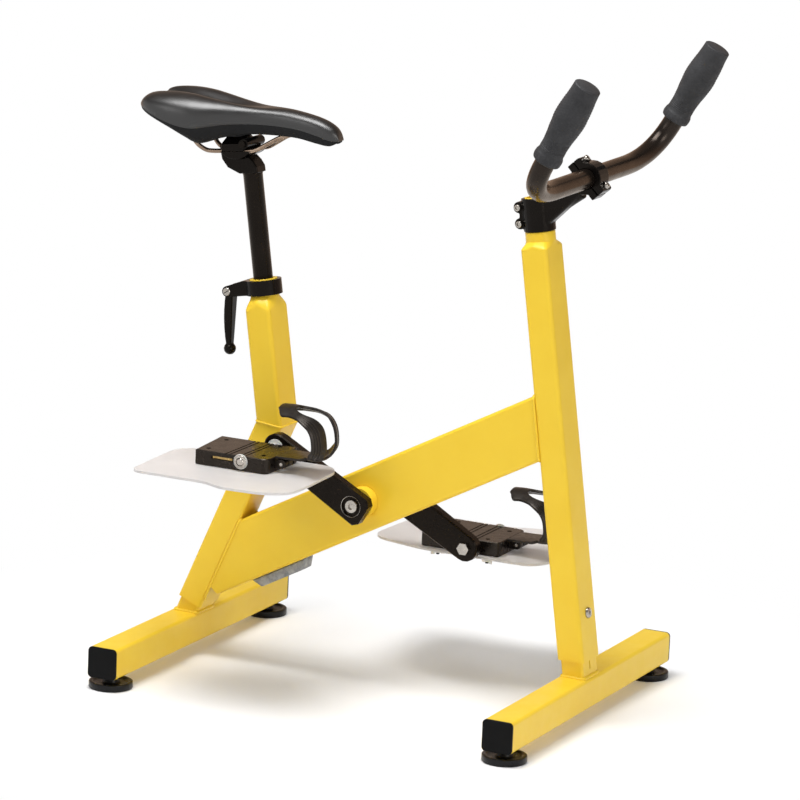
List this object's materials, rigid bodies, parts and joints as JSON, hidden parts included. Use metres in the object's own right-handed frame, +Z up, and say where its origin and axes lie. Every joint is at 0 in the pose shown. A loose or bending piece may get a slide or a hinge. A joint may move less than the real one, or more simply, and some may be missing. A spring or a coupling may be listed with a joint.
{
  "type": "aqua bike",
  "caption": "Upright exercise bike for use in a pool, with a box-tube frame, paddle pedals, toe cages, a quick-clamp saddle post and an upright handlebar.",
  "frame": {"origin": "middle of the bounding box at floor level, where the four feet stand", "axes": "+X to the front of the bike, +Y to the rider's left, +Z up"},
  "size_m": [0.838, 0.5966, 1.0028],
  "materials": {
    "yellow_paint": "gloss powder coat",
    "black_plastic": "satin",
    "black_metal": "black anodised, satin",
    "grip_rubber": "matt, ribbed",
    "steel": "bright",
    "zinc": "rough cast",
    "bronze_rail": "bronze tint",
    "paddle_sheet": "translucent white",
    "white_plastic": "smooth",
    "saddle_cover": "smooth synthetic, satin"
  },
  "bodies": {
    "frame": {"front_post": "yellow_paint", "main_beam": "yellow_paint", "seat_tube": "yellow_paint", "rear_leg": "yellow_paint", "front_base_stub": "yellow_paint", "rear_base_stub": "yellow_paint", "bottom_bracket_shell": "yellow_paint", "front_base_bar": "yellow_paint", "rear_base_bar": "yellow_paint", "front_left_end_cap": "black_plastic", "front_right_end_cap": "black_plastic", "rear_left_end_cap": "black_plastic", "rear_right_end_cap": "black_plastic", "left_bearing": "steel", "right_bearing": "steel", "anode_block": "zinc", "front_post_bolt": "steel", "seat_clamp_collar": "black_metal", "seat_clamp_pin": "steel"},
    "front_left_foot": {"front_left_foot": "black_plastic"},
    "front_right_foot": {"front_right_foot": "black_plastic"},
    "rear_left_foot": {"rear_left_foot": "black_plastic"},
    "rear_right_foot": {"rear_right_foot": "black_plastic"},
    "clamp_lever": {"seat_clamp_lever": "black_metal"},
    "seat_post": {"seat_post": "black_metal"},
    "saddle_clamp": {"lower_rail_clamp": "black_metal", "upper_rail_clamp": "black_metal", "rail_clamp_bolt": "black_metal"},
    "saddle": {"left_saddle_rail": "bronze_rail", "right_saddle_rail": "bronze_rail", "saddle_base": "black_plastic", "saddle_cover": "saddle_cover"},
    "stem": {"stem_body": "black_metal", "stem_faceplate": "black_metal", "upper_pinch_bolt": "steel", "lower_pinch_bolt": "steel", "upper_faceplate_bolt": "steel", "lower_faceplate_bolt": "steel"},
    "handlebar": {"handlebar": "black_metal", "left_grip": "grip_rubber", "right_grip": "grip_rubber"},
    "crankset": {"crank_spindle": "steel", "left_crank": "black_metal", "right_crank": "black_metal", "left_crank_bolt": "steel", "right_crank_bolt": "steel", "left_pedal_axle": "steel", "right_pedal_axle": "steel"},
    "left_pedal": {"left_pedal_body": "black_plastic", "left_pedal_bush": "white_plastic", "left_paddle_plate": "paddle_sheet", "left_toe_cage_pin": "steel"},
    "right_pedal": {"right_pedal_body": "black_plastic", "right_pedal_bush": "white_plastic", "right_paddle_plate": "paddle_sheet", "right_toe_cage_pin": "steel"},
    "left_toe_cage": {"left_toe_cage": "black_plastic"},
    "right_toe_cage": {"right_toe_cage": "black_plastic"}
  },
  "joints": [
    {"name": "front_left_foot_screw", "type": "slide", "parent": "frame", "child": "front_left_foot", "axis": [0, 0, 1], "range_m": [-0.015, 0.0035]},
    {"name": "front_right_foot_screw", "type": "slide", "parent": "frame", "child": "front_right_foot", "axis": [0, 0, 1], "range_m": [-0.015, 0.0035]},
    {"name": "rear_left_foot_screw", "type": "slide", "parent": "frame", "child": "rear_left_foot", "axis": [0, 0, 1], "range_m": [-0.015, 0.0035]},
    {"name": "rear_right_foot_screw", "type": "slide", "parent": "frame", "child": "rear_right_foot", "axis": [0, 0, 1], "range_m": [-0.015, 0.0035]},
    {"name": "clamp_lever_pivot", "type": "hinge", "parent": "frame", "child": "clamp_lever", "pos_m": [-0.27568, 0, 0.57762], "axis": [0, 1, 0], "range_deg": [0, 130]},
    {"name": "seat_post_slide", "type": "slide", "parent": "frame", "child": "seat_post", "axis": [-0.1504, 0, 0.9886], "range_m": [-0.04, 0.1]},
    {"name": "saddle_tilt", "type": "hinge", "parent": "seat_post", "child": "saddle_clamp", "pos_m": [-0.26689, 0, 0.819], "axis": [0, 1, 0], "range_deg": [-8, 8]},
    {"name": "saddle_rail_slide", "type": "slide", "parent": "saddle_clamp", "child": "saddle", "axis": [0.9947, 0, 0.1028], "range_m": [0, 0.012]},
    {"name": "stem_swivel", "type": "hinge", "parent": "frame", "child": "stem", "pos_m": [0.22908, 0, 0.75569], "axis": [-0.1504, 0, 0.9886], "range_deg": [-20, 20]},
    {"name": "handlebar_tilt", "type": "hinge", "parent": "stem", "child": "handlebar", "pos_m": [0.30795, 0, 0.81909], "axis": [0, 1, 0], "range_deg": [-15, 15]},
    {"name": "crank_rotation", "type": "hinge", "parent": "frame", "child": "crankset", "pos_m": [-0.02236, 0, 0.2886], "axis": [0, 1, 0], "continuous": true},
    {"name": "left_pedal_rotation", "type": "hinge", "parent": "crankset", "child": "left_pedal", "pos_m": [0.10776, 0.138, 0.21498], "axis": [0, 1, 0], "continuous": true},
    {"name": "right_pedal_rotation", "type": "hinge", "parent": "crankset", "child": "right_pedal", "pos_m": [-0.15248, -0.138, 0.36222], "axis": [0, 1, 0], "continuous": true},
    {"name": "left_toe_cage_hinge", "type": "hinge", "parent": "left_pedal", "child": "left_toe_cage", "pos_m": [0.16376, 0.146, 0.21398], "axis": [0, 1, 0], "range_deg": [-3, 20]},
    {"name": "right_toe_cage_hinge", "type": "hinge", "parent": "right_pedal", "child": "right_toe_cage", "pos_m": [-0.09648, -0.146, 0.36122], "axis": [0, 1, 0], "range_deg": [-3, 20]}
  ]
}
